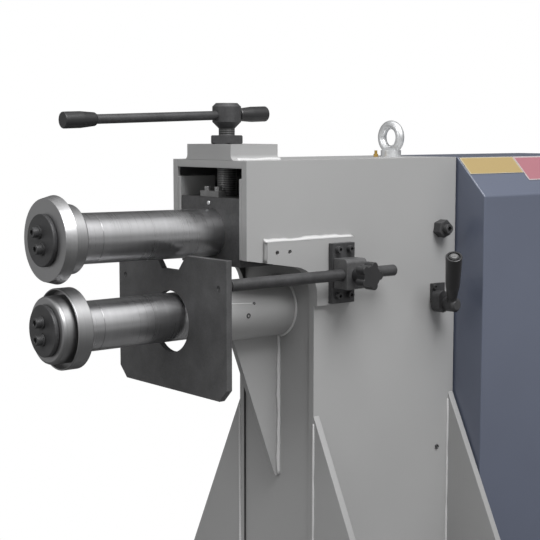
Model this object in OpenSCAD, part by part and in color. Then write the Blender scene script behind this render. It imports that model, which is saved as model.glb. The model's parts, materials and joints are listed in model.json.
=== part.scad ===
// Motor-driven beading machine: a welded C-shaped frame on a flared stand,
// two overhung roller shafts, a screw-set upper shaft, a sliding depth stop
// and a sheet-metal drive cover.
// Lengths in millimetres. +X runs from the rollers to the drive, +Z is up,
// and the origin is on the floor under the middle of the base plate.
// Heights marked "above the axis" are measured from the lower shaft's axis.

/* [Stand] */
// Height of the lower shaft's axis above the floor
axis_h = 1000; // [900:1:1100]
// Length of the base plate
base_l = 780; // [740:1:900]
// Width of the base plate
base_w = 500; // [440:1:640]
// Thickness of the base plate
base_t = 15; // [10:1:25]
// Radius of each anchor hole
anchor_r = 9; // [6:0.5:12]
// Distance of each anchor hole from the edges of the base plate
anchor_inset = 30; // [25:1:45]
// Depth below the axis at which the stand begins to flare
flare_drop = 167; // [150:1:200]
// Slope of the flare, sideways for each unit down
flare_slope = 0.48; // [0.3:0.01:0.6]
// Distance of the flare's foot from the edge of the base plate
foot_inset = 8; // [2:1:20]

/* [Frame] */
// Distance from the middle of the base plate forward to the head's front
head_reach = 480; // [460:1:500]
// Width over the side plates
body_w = 188; // [180:1:210]
// Length from the head's front to the back of the frame
body_l = 456; // [450:1:480]
// Height of the frame's top above the axis
body_top = 237; // [230:1:250]
// Thickness of the side plates
side_t = 12; // [8:1:16]
// Thickness of the top plate, the front wall and the rear wall
wall_t = 12; // [8:1:16]
// Depth of the throat behind the head's front
throat_l = 134; // [120:1:140]
// Height of the arm's lower edge above the axis, at the head
throat_h = 87.5; // [84:0.5:95]
// Slope of the arm's lower edge in degrees
throat_slope = 8.9; // [5:0.1:12]
// Radius of the throat's inner corner
throat_r = 48; // [30:1:55]
// Distance of the front wall behind the side plates' front edge
wall_recess = 3; // [1:0.5:6]

/* [Head] */
// Thickness of each guide strip for the slide block
guide_t = 7; // [5:0.5:9]
// Length of the guide strips
guide_l = 70; // [60:1:90]
// Width of the neck block
neck_w = 111; // [90:1:120]
// Length of the neck block
neck_l = 92; // [80:1:100]
// Height of the neck block
neck_h = 24; // [20:1:30]
// Radius of the fillet at the neck's foot
neck_fillet = 8; // [4:1:12]
// Distance of the pressure screw behind the head's front
screw_x = 35.5; // [34:0.5:44]

/* [Horn] */
// Outer radius of the horn tube
horn_r = 48; // [45:0.5:52]
// Length of the horn tube in front of the front wall
horn_l = 132; // [120:1:140]
// Inner radius of the horn tube behind its bush
horn_bore_r = 41; // [39:0.5:43]
// Length of the bush at the horn tube's nose
bush_l = 45; // [30:1:60]
// Thickness of the gusset under the horn
gusset_t = 10; // [8:1:30]
// Distance from the front wall to the gusset's upper front corner
gusset_l = 93.5; // [70:0.5:110]
// Length of the gusset at its foot
gusset_foot = 8; // [4:1:20]
// Height of the gusset
gusset_h = 233; // [200:1:280]

/* [Shafts] */
// Distance between the two shafts at the head's front
shaft_gap = 125; // [123:0.5:135]
// Radius of both shafts
shaft_r = 37; // [34:0.5:38]
// Tilt of the upper shaft in degrees, front end up
shaft_tilt = 0.664; // [0.3:0.001:1]
// Distance from the head's front forward to the rollers' front faces
roller_reach = 288; // [270:1:320]
// Distance of the upper shaft's pivot in front of the frame's back
pivot_back = 40; // [39:1:46]
// Radial running clearance of the shafts in their bearings
run_gap = 0.05; // [0.03:0.01:0.08]

/* [Rollers] */
// Radius of the upper roller's rim at its back edge
upper_rim_r = 63.5; // [60:0.5:64]
// Radius of the upper roller's rim at its front face
upper_face_r = 59; // [55:0.5:60]
// Width of the upper roller's rim
upper_rim_w = 17; // [12:0.5:18]
// Radius of the upper roller's hub
upper_hub_r = 50; // [44:0.5:54]
// Radius of the lower roller's outer lip
lower_lip_r = 59; // [56:0.5:60]
// Radius of the lower roller's front step
lower_step_r = 49; // [46:0.5:51]
// Thickness of the lower roller's lip
lip_t = 3; // [2:0.5:4]
// Distance of the lower roller's lip behind its front face
lip_back = 18; // [10:0.5:20]
// Depth of the groove inside the lower roller's lip
groove_d = 12; // [8:0.5:14]
// Length of both rollers
roller_l = 43; // [38:0.5:50]
// Length of the sleeve between each roller and its shaft
sleeve_l = 32; // [20:1:40]
// Radius of the keeper washers
washer_r = 37.5; // [30:0.5:42]
// Thickness of the keeper washers
washer_t = 7; // [6:0.5:12]
// Distance between the two keeper screws
keeper_pitch = 24.5; // [22:0.5:30]
// Radius of the keeper screws' heads
keeper_head_r = 7.5; // [6:0.5:9]
// Height of the keeper screws' heads with their spring washers
keeper_head_h = 11.5; // [8:0.5:14]

/* [Slide block] */
// Gap between the slide block and each guide strip
slide_gap = 0.4; // [0.3:0.05:0.6]
// Height of the slide block's top above the axis
block_top = 180; // [176:1:186]
// Height of the slide block
block_h = 104; // [96:1:110]
// Length of the slide block
block_l = 66; // [50:1:70]
// Radius of the spindle's pocket in the slide block
pocket_r = 17; // [16.5:0.5:18]

/* [Pressure screw] */
// Radius of the spindle
spindle_r = 15; // [12:0.5:15.5]
// Height of the spindle's tip above the axis
spindle_tip = 169; // [168:0.5:172]
// Width of the lock nut across its flats
nut_af = 46; // [41:0.5:50]
// Height of the lock nut
nut_h = 13.5; // [12:0.5:18]
// Radius of the hub
hub_r = 22.3; // [20:0.1:25]
// Height of the hub with its cone
hub_h = 39; // [34:0.5:44]
// Radius of the cross bar
bar_r = 7; // [6:0.5:9]
// Length of the cross bar's front part, from the hub's axis to the tip
bar_front = 291.5; // [240:1:320]
// Gap between the hub and the rear grip
rear_gap = 0.7; // [0.5:0.1:30]
// Slope of the loose cross bar in degrees, front end down
bar_slope = 1.8; // [0:0.1:2]
// Length of each hand grip
grip_l = 54; // [50:1:64]
// Radius of each hand grip at its thick end
grip_r = 12; // [10:0.1:14]

/* [Depth stop] */
// Radius of the stop rod
rod_r = 9; // [8:0.5:10]
// Length of the stop rod
rod_l = 336; // [300:1:360]
// Distance of the rod's axis out from the side plate
rod_out = 37; // [36:0.5:40]
// Height of the rod's axis above the lower shaft's axis
rod_z = 59; // [57:0.5:61]
// Distance from the head's front forward to the stop plate's front face
stop_x = 74; // [60:1:90]
// Thickness of the stop plate
stop_t = 10; // [6:1:12]
// Width of the stop plate
stop_w = 281; // [270:1:300]
// Height of the stop plate
stop_h = 208; // [200:1:220]
// Height of the stop plate's top edge above the axis
stop_top = 96.5; // [92:0.5:98]
// Corner cut of the stop plate
stop_cut = 18; // [10:1:25]
// Radius of the hole round the lower shaft
stop_hole_r = 47; // [45:0.5:50]

/* [Stop clamp] */
// Thickness of the welded side pad
pad_t = 8; // [6:0.5:10]
// Length of the side pad
pad_l = 175.5; // [170:0.5:190]
// Height of the side pad
pad_h = 105.5; // [100:0.5:120]
// Radius of the two tapped holes in the side pad
tap_r = 3.4; // [2.5:0.1:4.2]
// Distance between the two tapped holes
tap_pitch = 25; // [20:1:40]
// Length of the clamp plate
clamp_l = 47; // [46:1:52]
// Height of the clamp plate
clamp_h = 95; // [90:1:100]
// Thickness of the clamp plate
clamp_t = 10; // [8:0.5:12]
// Height of the clamp block
block_zh = 47; // [40:1:52]
// Thickness of the clamp block outside the rod
block_wall = 3; // [3:0.5:8]
// Radius of the star knob
knob_r = 22.5; // [18:0.5:25]
// Height of the star knob
knob_h = 18; // [16:1:28]

/* [Eye bolt] */
// Distance of the eye bolt in front of the frame's back
eye_back = 63; // [61:1:96]
// Mean radius of the ring
eye_ring_r = 21.5; // [20:0.5:28]
// Radius of the ring's bar
eye_bar_r = 7.5; // [6:0.5:8]
// Radius of the collar
eye_collar_r = 17.5; // [15:0.5:20]

/* [Adjusting lever] */
// Distance of the lever's pivot in front of the frame's back
lever_back = 52; // [48:1:62]
// Reach of the lever's arm out from the side plate
lever_out = 49; // [44:1:54]
// Length of the lever's grip
lever_grip_l = 87.5; // [60:0.5:95]
// Radius of the lever's grip
lever_grip_r = 13.8; // [11:0.1:14]
// Lean of the lever's grip from upright in degrees
grip_lean = 34; // [0:1:36]

/* [Drive cover] */
// Length of the drive cover
cover_l = 385; // [360:1:400]
// Width of the drive cover
cover_w = 314; // [300:1:340]
// Height of the slope between the cover's top and its sides
cover_slope_h = 65; // [50:1:80]
// Gap between the frame's rear wall and the cover
cover_gap = 3; // [1:0.5:5]
// Thickness of the cover's rear panel
panel_t = 4; // [2:0.5:6]
// Length of the yellow plate
yellow_l = 138; // [100:1:150]
// Height of the yellow plate
yellow_h = 38; // [30:1:56]
// Length of the red plate
red_l = 150; // [100:1:160]
// Height of the red plate
red_h = 56; // [30:1:60]
// Thickness of both plates
label_t = 1; // [0.8:0.1:2]

/* [Hidden] */

$fn = 64;
eps = 0.01;
half_w = body_w / 2;
inner_w = body_w - 2 * side_t;
head_x = -head_reach;
floor_z = -axis_h;
stand_z = floor_z + base_t;

// Front wall and throat
wall_x = throat_l + wall_recess;
throat_tangent = throat_r / tan((90 + throat_slope) / 2);
throat_corner_z = throat_h - throat_l * tan(throat_slope);
throat_steps = 24;

// Neck, spindle and hub heights above the axis
neck_top = body_top + neck_h;
nut_top = neck_top + nut_h;
hub_bottom = nut_top + 10.5;
hub_cone_h = 10;
hub_neck_r = 12.5;
hub_chamfer = 5.5;
bar_rise = 20.5;
bar_z = hub_bottom + bar_rise;
bar_rear = hub_r + rear_gap + grip_l;
nut_corner_r = nut_af / 2 / cos(30);
nut_chamfer = 2;

// Hand grips
grip_foot_r = 8.5;
grip_neck_r = 9.9;
grip_neck_l = 2;
grip_swell_l = 25;
grip_edge = 1;
grip_wall = 12;

// Guide strips and slide block
slide_w = inner_w - 2 * guide_t - 2 * slide_gap;
roof_z = body_top - wall_t;
guide_top = roof_z - 15;
guide_h = guide_top - throat_h;
block_x = 2;
seat_gap = 0.5;
cap_l = 15;
cap_w = 46;
cap_h = 9.5;
cap_shift = 1.5;
cap_bolt_x = 7.5;
cap_bolt_inset = 10;
cap_bolt_r = 6.5;
cap_bolt_h = 7;

// Upper shaft's pivot: its station, the shaft's height there, and the pivot's below it
pivot_x = body_l - pivot_back;
shaft_z = shaft_gap - pivot_x * tan(shaft_tilt);
pivot_drop = 2.9;
pivot_z = shaft_z - pivot_drop;
pivot_r = 8;
pivot_reach = 25;
pivot_bite = 10;
pivot_socket_d = 9;
pivot_nut_af = 27;
pivot_nut_h = 16;
pivot_nut_turn = 20;
rocker_l = 44;
rocker_w = 120;
rocker_h = 96;

// Block that carries the lower shaft's tail
bearing_l = 56;
bearing_z0 = -60;
bearing_h = 110;
bearing_floor = 10;

// Shaft stations along the upper shaft, measured from its pivot
face_s = -(roller_reach + pivot_x);
nose_r = shaft_r - 12;

// Keeper screws
keeper_ring_r = 9.5;
keeper_ring_t = 2.5;
upper_keeper_turn = -20;
lower_keeper_turn = -3;

// Depth stop
rod_y = -(half_w + rod_out);
rod_neck = 2.5;
rod_neck_l = 3;
stop_hole_z = -6.6;
notch_d = 23.5;
notch_foot = 21;
notch_mouth = 41;
stop_screw_y = 122;
stop_screw_z = 54.5;
stop_screw_r = 4;
stop_screw_d = 4;

// Side pad and clamp
pad_x = 33.5;
pad_z = 9;
tap_x = pad_x + 19.5;
tap_z = pad_z + pad_h - 17;
clamp_x = 157;
clamp_z = 11.5;
clamp_face_y = -(half_w + pad_t + clamp_t);
clamp_screw_x = [10.5, 34.5];
clamp_screw_z = [12.5, 85.5];
block_face_y = rod_y - rod_r - block_wall;
block_z = rod_z + 1 - block_zh / 2;
block_round = 7;
knob_stem = 16;
knob_stem_r = 12;
knob_core = 0.75;
knob_lobe_r = 6.5;

// Eye bolt and grease nipple
eye_x = body_l - eye_back;
nipple_gap = 36;
eye_collar_h = 11;
eye_lift = 4;

// Adjusting lever: bracket, pin and knuckle
lever_x = body_l - lever_back;
bracket_t = 6;
bracket_l = 30;
bracket_h = 28;
bracket_dx = -8;
bracket_screw_dx = -4;
bracket_screw_dz = 24;
bracket_screw_r = 4;
bracket_dz = 1.4;
lever_z = -4.9;
lever_pin_r = 6;
lever_pin_l = 12;
knuckle_w = 18;
knuckle_r = 11;
knuckle_half = 7.5;

// Adjusting lever: arm and grip, the grip leaning outwards and forwards
arm_r = 12;
arm_dx = 7;
arm_drop = 4.1;
arm_edge = 4;
arm_over = 13;
grip_bearing = 225;
grip_foot = 17.3;
grip_waist_r = 12;
grip_pin_r = 4;
grip_swell = 26;
grip_recess_r = 10.5;
grip_recess_d = 3;
grip_button_r = 8;

// Cover
cover_x = body_l + cover_gap;
cover_top = body_top;
slope_w = cover_w / 2 - half_w;
label_drop = 2.5;
label_side = 2;
label_space = 1;

module machine() { translate([head_x, 0, axis_h]) children(); }

// Solid along Y from an outline in X and Z
module along_y(y0, y1)
  translate([0, y1, 0]) rotate([90, 0, 0]) linear_extrude(y1 - y0) children();

// Solid along X from an outline in Y and Z
module along_x(x0, x1)
  translate([x0, 0, 0]) rotate([90, 0, 90]) linear_extrude(x1 - x0) children();

// Round bar along X
module rod_x(r, x0, x1) translate([x0, 0, 0]) rotate([0, 90, 0]) cylinder(r = r, h = x1 - x0);

// Round bar along Y
module rod_y(r, y0, y1) translate([0, y0, 0]) rotate([-90, 0, 0]) cylinder(r = r, h = y1 - y0);

// Places its children in the upper shaft's frame: origin above the pivot, X along the shaft
module upper_frame() translate([pivot_x, 0, shaft_z]) rotate([0, shaft_tilt, 0]) children();

// ---------------------------------------------------------------- stand

module base_plate() {
  ax = base_l / 2 - anchor_inset;
  ay = base_w / 2 - anchor_inset;
  color("dimgray") difference() {
    translate([-base_l / 2, -base_w / 2, 0]) cube([base_l, base_w, base_t]);
    for (x = [-ax, ax], y = [-ay, ay])
      translate([x, y, -1]) cylinder(r = anchor_r, h = base_t + 2);
  }
}

// Outline of one flared wing, from the side plate outwards
module wing_outline() {
  run = base_w / 2 - foot_inset - half_w;
  polygon([
    [half_w, stand_z],
    [half_w, -flare_drop],
    [half_w + run, -flare_drop - run / flare_slope],
    [half_w + run, stand_z]
  ]);
}

module wings(x) {
  machine() along_x(x, x + wall_t) {
    wing_outline();
    mirror([1, 0]) wing_outline();
  }
}

module front_flares() color("gray") wings(throat_l);

module rear_flares() color("gray") wings(body_l - wall_t);

// ---------------------------------------------------------------- frame

// Open throat under the arm, its inner corner rounded in short steps
module throat_outline() {
  arc_x = throat_l - throat_r;
  arc_z = throat_corner_z - throat_tangent;
  sweep = 90 - throat_slope;
  polygon(concat(
    [[-1, stand_z - 1], [-1, throat_h + tan(throat_slope)]],
    [for (i = [0:throat_steps]) let (a = sweep * (1 - i / throat_steps))
      [arc_x + throat_r * cos(a), arc_z + throat_r * sin(a)]],
    [[throat_l, stand_z - 1]]
  ));
}

// Side plate: arm above the throat, and the stand column behind it
module side_outline()
  difference() {
    translate([0, stand_z]) square([body_l, body_top - stand_z]);
    throat_outline();
  }

module side_plate(y0) {
  machine() difference() {
    along_y(y0, y0 + side_t) side_outline();
    translate([pivot_x, 0, pivot_z]) rod_y(pivot_r + run_gap, y0 - 1, y0 + side_t + 1);
  }
}

module side_plate_near() color("silver") side_plate(-half_w);

module side_plate_far() color("silver") side_plate(half_w - side_t);

module top_plate() color("silver")
  machine() translate([0, -inner_w / 2, body_top - wall_t]) difference() {
    cube([body_l, inner_w, wall_t]);
    translate([screw_x, inner_w / 2, -1]) cylinder(r = spindle_r + 1, h = wall_t + 2);
  }

module front_wall() color("gray")
  machine() translate([wall_x, 0, 0]) difference() {
    translate([0, -inner_w / 2, stand_z])
      cube([wall_t, inner_w, roof_z - stand_z]);
    rod_x(horn_bore_r, -1, wall_t + 1);
    translate([0, 0, shaft_gap]) rod_x(shaft_r + 14, -1, wall_t + 1);
  }

module rear_wall() color("gray")
  machine() translate([body_l - wall_t, -inner_w / 2, stand_z])
    cube([wall_t, inner_w, roof_z - stand_z]);

module guide_strip(y0)
  machine() translate([0, y0, throat_h]) cube([guide_l, guide_t, guide_h]);

module head_guides() color("gray") {
  guide_strip(-inner_w / 2);
  guide_strip(inner_w / 2 - guide_t);
}

// Concave fillet at the neck's foot, with its corner at the origin
module foot_fillet()
  difference() {
    translate([-1, 0]) square([neck_fillet + 1, neck_fillet]);
    translate([neck_fillet, neck_fillet]) circle(r = neck_fillet);
  }

module neck_block() color("silver")
  machine() difference() {
    along_x(0, neck_l) {
      translate([-neck_w / 2, body_top]) square([neck_w, neck_h]);
      translate([neck_w / 2, body_top]) foot_fillet();
      translate([-neck_w / 2, body_top]) mirror([1, 0]) foot_fillet();
    }
    translate([screw_x, 0, body_top - 1]) cylinder(r = spindle_r + run_gap, h = neck_h + 2);
  }

module horn_tube() color("silver")
  machine() difference() {
    rod_x(horn_r, wall_x - horn_l, wall_x);
    rod_x(horn_bore_r, wall_x - horn_l + bush_l, wall_x + 1);
    rod_x(shaft_r + run_gap, wall_x - horn_l - 1, wall_x);
  }

module horn_gusset() color("silver")
  machine() difference() {
    along_y(-gusset_t / 2, gusset_t / 2) polygon([
      [wall_x - gusset_l, 0],
      [wall_x, 0],
      [wall_x, -gusset_h - horn_r],
      [wall_x - gusset_foot, -gusset_h - horn_r],
      [wall_x - gusset_l, -horn_r]
    ]);
    rod_x(horn_r, wall_x - gusset_l - 1, wall_x + 1);
  }

// Bearing that carries the lower shaft's tail between the side plates
module lower_bearing() color("dimgray")
  machine() difference() {
    translate([body_l - wall_t - bearing_l, -inner_w / 2, bearing_z0])
      cube([bearing_l, inner_w, bearing_h]);
    rod_x(shaft_r + run_gap, body_l - wall_t - bearing_l - 1, body_l - wall_t - bearing_floor);
  }

// ------------------------------------------------- pivot of the upper shaft

module both_pivots()
  machine() translate([pivot_x, 0, pivot_z])
    for (side = [0, 1]) mirror([0, side, 0]) children();

module pivot_screws() color("black") both_pivots() difference() {
  rod_y(pivot_r, -half_w - pivot_reach, -rocker_w / 2 + pivot_bite);
  translate([0, -half_w - pivot_reach - 1, 0]) rotate([-90, 0, 0])
    cylinder(d = pivot_socket_d, h = pivot_socket_d, $fn = 6);
}

module pivot_nuts() color("black") both_pivots() difference() {
  translate([0, -half_w - pivot_nut_h, 0]) rotate([0, -pivot_nut_turn, 0]) rotate([-90, 0, 0])
    cylinder(d = pivot_nut_af / cos(30), h = pivot_nut_h, $fn = 6);
  rod_y(pivot_r, -half_w - pivot_nut_h - 1, -half_w + 1);
}

// --------------------------------------------------------- depth stop clamp

module side_pad() color("silver")
  machine() difference() {
    intersection() {
      translate([pad_x, -half_w - pad_t, pad_z]) cube([pad_l, pad_t, pad_h]);
      along_y(-half_w - pad_t, -half_w) side_outline();
    }
    for (i = [0, 1])
      translate([tap_x + i * tap_pitch, 0, tap_z])
        rod_y(tap_r, -half_w - pad_t - 1, -half_w + 1);
  }

module clamp_hole_places()
  for (x = clamp_screw_x, z = clamp_screw_z)
    translate([clamp_x + x, clamp_face_y, clamp_z + z]) children();

module clamp_plate() color("black")
  machine() translate([clamp_x, clamp_face_y, clamp_z]) cube([clamp_l, clamp_t, clamp_h]);

// Socket head screw with its head on the plane Y = 0, facing -Y
module socket_head(r, h)
  rotate([90, 0, 0]) difference() {
    cylinder(r = r, h = h);
    translate([0, 0, h * 0.4]) cylinder(r = r * 0.55, h = h, $fn = 6);
  }

module clamp_screws() color("black")
  machine() clamp_hole_places() socket_head(5.5, 7.5);

module clamp_block() color("black")
  machine() difference() {
    along_x(clamp_x + 2, clamp_x + clamp_l - 3) difference() {
      translate([block_face_y, block_z]) square([clamp_face_y - block_face_y, block_zh]);
      translate([block_face_y, block_z + block_zh - block_round]) difference() {
        translate([-1, 0]) square(block_round + 1);
        translate([block_round, 0]) circle(r = block_round);
      }
    }
    translate([0, rod_y, rod_z]) rod_x(rod_r + run_gap, clamp_x - 1, clamp_x + clamp_l + 1);
  }

module star_knob() color("black")
  machine() translate([clamp_x + clamp_l / 2, block_face_y - 0.3, rod_z]) rotate([90, 0, 0]) {
    cylinder(r = knob_stem_r, h = knob_stem + 1);
    translate([0, 0, knob_stem]) linear_extrude(knob_h) union() {
      circle(r = knob_r * knob_core);
      for (a = [0:72:288]) rotate(a) translate([knob_r - knob_lobe_r, 0]) circle(r = knob_lobe_r);
    }
  }

// ----------------------------------------------------------- small fittings

module eye_bolt() color("gainsboro")
  machine() translate([eye_x, 0, body_top]) {
    cylinder(r = eye_collar_r, h = eye_collar_h);
    translate([0, 0, eye_lift + eye_ring_r + eye_bar_r]) rotate([0, 90, 0])
      rotate_extrude() translate([eye_ring_r, 0]) circle(r = eye_bar_r, $fn = 32);
  }

module grease_nipple() color("goldenrod")
  machine() translate([eye_x - nipple_gap, 0, body_top]) {
    cylinder(r = 4, h = 5);
    cylinder(r = 2.5, h = 11);
  }

module lock_nut() color("black")
  machine() translate([screw_x, 0, neck_top]) difference() {
    intersection() {
      cylinder(r = nut_corner_r, h = nut_h, $fn = 6);
      union() {
        cylinder(r1 = nut_af / 2, r2 = nut_corner_r, h = nut_chamfer);
        translate([0, 0, nut_chamfer])
          cylinder(r = nut_corner_r + 1, h = nut_h - 2 * nut_chamfer);
        translate([0, 0, nut_h - nut_chamfer])
          cylinder(r1 = nut_corner_r, r2 = nut_af / 2, h = nut_chamfer);
      }
    }
    translate([0, 0, -1]) cylinder(r = spindle_r + run_gap, h = nut_h + 2);
  }

// --------------------------------------------------------- adjusting lever

module at_lever() machine() translate([lever_x, -half_w, lever_z]) children();

module lever_bracket() color("black") at_lever() {
  translate([bracket_dx, -bracket_t, bracket_dz]) cube([bracket_l, bracket_t, bracket_h]);
  rod_y(lever_pin_r, -bracket_t - lever_pin_l, 0);
  translate([bracket_screw_dx, -bracket_t, bracket_screw_dz])
    socket_head(bracket_screw_r, bracket_screw_r);
}

// Grip's frame: origin on the arm's axis, Z along the leaning grip
module grip_frame() at_lever() translate([arm_dx, -lever_out + arm_over, -arm_drop])
  rotate([0, grip_lean, grip_bearing]) children();

module lever_arm() color("black") {
  at_lever() difference() {
    union() {
      for (s = [-1, 1]) translate([0, 0, s * knuckle_half])
        rod_y(knuckle_r, -bracket_t - knuckle_w, -bracket_t - 0.3);
      translate([-knuckle_r, -bracket_t - knuckle_w, -knuckle_half])
        cube([2 * knuckle_r, knuckle_w - 0.3, 2 * knuckle_half]);
      translate([arm_dx, 0, -arm_drop]) {
        rod_y(arm_r, -lever_out + arm_edge, -bracket_t - knuckle_w / 2);
        translate([0, -lever_out, 0]) rotate([-90, 0, 0])
          cylinder(r1 = arm_r - arm_edge, r2 = arm_r, h = arm_edge);
      }
    }
    rod_y(lever_pin_r + run_gap, -bracket_t - lever_pin_l - 0.3, 0);
  }
  grip_frame() {
    cylinder(r = grip_foot_r, h = grip_foot);
    cylinder(r = grip_pin_r, h = grip_foot + lever_grip_l - grip_recess_d);
    translate([0, 0, grip_foot + lever_grip_l - grip_recess_d])
      cylinder(r = grip_button_r, h = grip_recess_d);
  }
}

module lever_grip() color("black") grip_frame() translate([0, 0, grip_foot + 0.3])
  difference() {
    union() {
      cylinder(r1 = grip_foot_r, r2 = grip_waist_r, h = grip_swell);
      translate([0, 0, grip_swell])
        cylinder(r1 = grip_waist_r, r2 = lever_grip_r, h = lever_grip_l - grip_swell - grip_edge);
      translate([0, 0, lever_grip_l - grip_edge])
        cylinder(r1 = lever_grip_r, r2 = lever_grip_r - grip_edge, h = grip_edge);
    }
    translate([0, 0, -1]) cylinder(r = grip_pin_r + run_gap, h = lever_grip_l + 2);
    translate([0, 0, lever_grip_l - grip_recess_d - 0.6]) cylinder(r = grip_recess_r, h = 6);
  }

// -------------------------------------------------------------- drive cover

module cover_outline() {
  polygon([
    [-cover_w / 2, stand_z], [cover_w / 2, stand_z],
    [cover_w / 2, cover_top - cover_slope_h], [half_w, cover_top],
    [-half_w, cover_top], [-cover_w / 2, cover_top - cover_slope_h]
  ]);
}

module drive_cover() color("slategray")
  machine() along_x(cover_x, cover_x + cover_l - panel_t) cover_outline();

module rear_panel() color("slategray")
  machine() along_x(cover_x + cover_l - panel_t, cover_x + cover_l) cover_outline();

// Plate on the cover's near slope, its upper edge below the top edge
module label_plate(x, l, h)
  machine() translate([x, -half_w, cover_top]) rotate([180 + atan(cover_slope_h / slope_w), 0, 0])
    translate([0, label_drop, -label_t]) cube([l, h, label_t]);

module label_yellow() color("gold") label_plate(cover_x + label_side, yellow_l, yellow_h);

module label_red() color("firebrick")
  label_plate(cover_x + label_side + yellow_l + label_space, red_l, red_h);

// -------------------------------------------------------------- lower shaft

module lower_roller_outline() {
  floor_s = lip_back + groove_d;
  polygon([
    [nose_r, 0], [lower_step_r - 4, 0], [lower_step_r - 1.2, 1.2],
    [lower_step_r, 4], [lower_step_r, floor_s],
    [lower_lip_r - lip_t, floor_s], [lower_lip_r - lip_t, lip_back + 1],
    [lower_lip_r - lip_t + 1, lip_back], [lower_lip_r - 1, lip_back],
    [lower_lip_r, lip_back + 1], [lower_lip_r, roller_l - 1],
    [lower_lip_r - 1, roller_l], [nose_r, roller_l]
  ]);
}

module upper_roller_outline() {
  polygon([
    [nose_r, 0], [upper_face_r, 0], [upper_rim_r, upper_rim_w],
    [upper_hub_r - 2, upper_rim_w], [upper_hub_r, upper_rim_w + 4],
    [upper_hub_r, roller_l - 2], [upper_hub_r - 2, roller_l], [nose_r, roller_l]
  ]);
}

// Turns an outline of radius and station about the X axis
module turned_x(x0) translate([x0, 0, 0]) rotate([0, 90, 0]) rotate_extrude() children();

// Shaft with a reduced nose for the roller, from the roller's face to its tail
module shaft_body(face, tail) {
  rod_x(nose_r - run_gap, face + 1, face + roller_l + 2);
  rod_x(shaft_r, face + roller_l, face + roller_l + sleeve_l - 0.3);
  rod_x(shaft_r - 1, face + roller_l + 1, face + roller_l + sleeve_l + 1);
  rod_x(shaft_r, face + roller_l + sleeve_l + 0.3, tail);
}

// Two socket screws on spring washers, in front of a keeper washer
module keepers(face, turn)
  for (s = [-1, 1]) rotate([turn, 0, 0])
    translate([face - washer_t, 0, s * keeper_pitch / 2]) rotate([0, 0, -90]) {
      rod_y(keeper_ring_r, -keeper_ring_t, 0);
      translate([0, -keeper_ring_t, 0])
        socket_head(keeper_head_r, keeper_head_h - keeper_ring_t);
    }

module lower_shaft() color("lightgray")
  machine() shaft_body(-roller_reach, body_l - wall_t - 12);

module lower_roller() color("lightgray")
  machine() turned_x(-roller_reach) lower_roller_outline();

module lower_washer() color("dimgray")
  machine() rod_x(washer_r, -roller_reach - washer_t, -roller_reach);

module lower_keepers() color("black") machine() keepers(-roller_reach, lower_keeper_turn);

// -------------------------------------------------------------- upper shaft

module slide_block() color("dimgray")
  machine() difference() {
    translate([block_x, -slide_w / 2, block_top - block_h]) cube([block_l, slide_w, block_h]);
    upper_frame() rod_x(shaft_r + run_gap, -pivot_x - 5, -pivot_x + block_x + block_l + 10);
    translate([screw_x, 0, spindle_tip - seat_gap]) cylinder(r = pocket_r, h = block_h);
  }

module slide_cap() color("gray")
  machine() translate([block_x, -cap_w / 2 + cap_shift, block_top]) {
    cube([cap_l, cap_w, cap_h]);
    for (y = [cap_bolt_inset, cap_w - cap_bolt_inset])
      translate([cap_bolt_x, y, cap_h - 0.5]) cylinder(r = cap_bolt_r, h = cap_bolt_h, $fn = 6);
  }

module rear_rocker() color("dimgray")
  machine() difference() {
    upper_frame() difference() {
      translate([-rocker_l / 2, -rocker_w / 2, -rocker_h / 2]) cube([rocker_l, rocker_w, rocker_h]);
      rod_x(shaft_r + run_gap, -rocker_l, rocker_l);
    }
    for (y = [-rocker_w / 2 - 1, rocker_w / 2 - pivot_bite - 1])
      translate([pivot_x, y, pivot_z]) rod_y(pivot_r + run_gap, 0, pivot_bite + 2);
  }

module upper_shaft() color("lightgray")
  machine() upper_frame() shaft_body(face_s, rocker_l / 2);

module upper_roller() color("lightgray")
  machine() upper_frame() turned_x(face_s) upper_roller_outline();

module upper_washer() color("dimgray")
  machine() upper_frame() rod_x(washer_r, face_s - washer_t, face_s);

module upper_keepers() color("black") machine() upper_frame()
  keepers(face_s, upper_keeper_turn);

// ----------------------------------------------------------- pressure screw

module spindle() color("dimgray")
  machine() translate([screw_x, 0, 0]) {
    translate([0, 0, spindle_tip]) cylinder(r = spindle_r, h = nut_top - spindle_tip);
    translate([0, 0, nut_top]) cylinder(r = hub_neck_r, h = hub_bottom - nut_top);
  }

module screw_hub() color("black")
  machine() translate([screw_x, 0, hub_bottom]) difference() {
    union() {
      cylinder(r1 = hub_neck_r, r2 = hub_r, h = hub_cone_h);
      translate([0, 0, hub_cone_h]) cylinder(r = hub_r, h = hub_h - hub_cone_h - hub_chamfer);
      translate([0, 0, hub_h - hub_chamfer])
        cylinder(r1 = hub_r, r2 = hub_r - hub_chamfer, h = hub_chamfer);
    }
    translate([0, 0, bar_z - hub_bottom]) rotate([0, -bar_slope, 0])
      rod_x(bar_r, -hub_r - 5, hub_r + 5);
  }

module bar_frame() translate([screw_x, 0, bar_z]) rotate([0, -bar_slope, 0]) children();

module cross_bar() color("black")
  machine() bar_frame() rod_x(bar_r, -bar_front + grip_wall, bar_rear - grip_wall);

// Hand grip along X, its thin end at the origin
module cross_grip() turned_x(0) polygon([
  [bar_r, 0], [grip_foot_r, 0], [grip_neck_r, grip_neck_l], [grip_r, grip_swell_l],
  [grip_r, grip_l - grip_edge], [grip_r - grip_edge, grip_l],
  [0, grip_l], [0, grip_l - grip_wall], [bar_r, grip_l - grip_wall]
]);

module cross_grips() color("black") machine() bar_frame() {
  translate([bar_rear - grip_l, 0, 0]) cross_grip();
  mirror([1, 0, 0]) translate([bar_front - grip_l, 0, 0]) cross_grip();
}

// --------------------------------------------------------------- depth stop

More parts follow.
